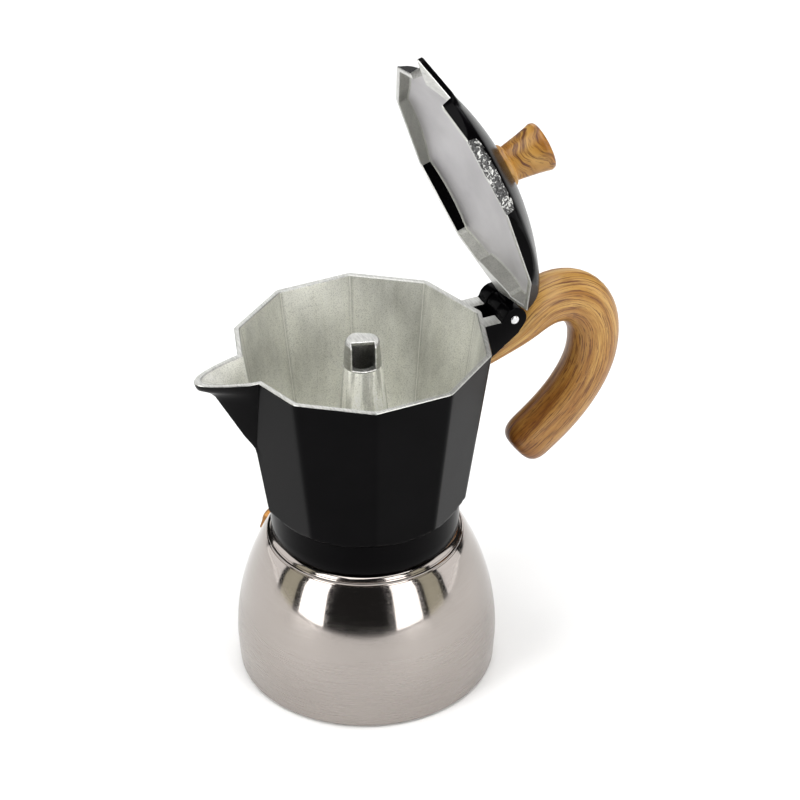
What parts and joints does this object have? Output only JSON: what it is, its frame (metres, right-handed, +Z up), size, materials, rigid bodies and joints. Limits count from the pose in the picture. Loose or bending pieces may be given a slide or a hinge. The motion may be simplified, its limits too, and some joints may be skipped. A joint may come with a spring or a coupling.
{
  "type": "moka pot",
  "caption": "Stovetop coffee maker: domed steel boiler, ten-sided pouring collector with a hook handle, and a hinged domed lid that stands open.",
  "frame": {"origin": "centre of the boiler's flat underside", "axes": "+Z up along the pot's axis, +X towards the hinge and handle, -X towards the spout"},
  "size_m": [0.1813, 0.105, 0.2682],
  "materials": {
    "stainless": "polished, finely brushed low down",
    "base_disc": "turned",
    "brass": "turned",
    "fibre": "matt",
    "spring_steel": "drawn wire",
    "pressed_aluminium": "satin",
    "silicone": "matt",
    "black_enamel": "gloss black outside, bare cast aluminium inside",
    "cast_aluminium": "as cast, machined rim",
    "steel": "plated",
    "wood_print": "wood-grain print under clear lacquer"
  },
  "bodies": {
    "boiler": {"boiler_shell": "stainless", "boiler_base_disc": "base_disc", "valve_body": "brass", "valve_washer": "fibre", "valve_nut": "brass", "valve_seat": "brass", "valve_spring": "spring_steel"},
    "valve_plunger": {"valve_plunger": "brass"},
    "funnel": {"funnel_basket": "pressed_aluminium", "funnel_stem": "pressed_aluminium", "funnel_screen": "pressed_aluminium"},
    "seal": {"gasket": "silicone", "filter_plate": "pressed_aluminium"},
    "collector": {"collector": "black_enamel", "coffee_column": "cast_aluminium", "column_cap": "cast_aluminium", "hinge_pin": "steel", "handle": "wood_print", "handle_washer": "steel", "handle_screw": "steel"},
    "lid": {"lid": "black_enamel", "knob": "wood_print", "knob_insert": "brass", "knob_washer": "steel", "knob_screw": "steel"}
  },
  "joints": [
    {"name": "valve_lift", "type": "slide", "parent": "boiler", "child": "valve_plunger", "axis": [-0.3756, 0.8848, 0.2756], "range_m": [0, 0.0015], "stiffness_N_per_m": 1200, "springref_m": -0.001, "deforming": ["valve_spring"]},
    {"name": "funnel_lift", "type": "slide", "parent": "boiler", "child": "funnel", "axis": [0, 0, 1], "range_m": [0, 0.1]},
    {"name": "collector_rise", "type": "slide", "parent": "funnel", "child": "seal", "axis": [0, 0, 1], "range_m": [0, 0.0121]},
    {"name": "collector_turn", "type": "hinge", "parent": "seal", "child": "collector", "pos_m": [0, 0, 0.07], "axis": [0, 0, 1], "range_deg": [0, 1080]},
    {"name": "lid_hinge", "type": "hinge", "parent": "collector", "child": "lid", "pos_m": [0.0602, 0, 0.1499], "axis": [0, 1, 0], "range_deg": [-72.3, 27.7]}
  ],
  "couplings": [
    {"joint": "collector_rise", "follows": "collector_turn", "m_per_rad": 0.00063662}
  ]
}
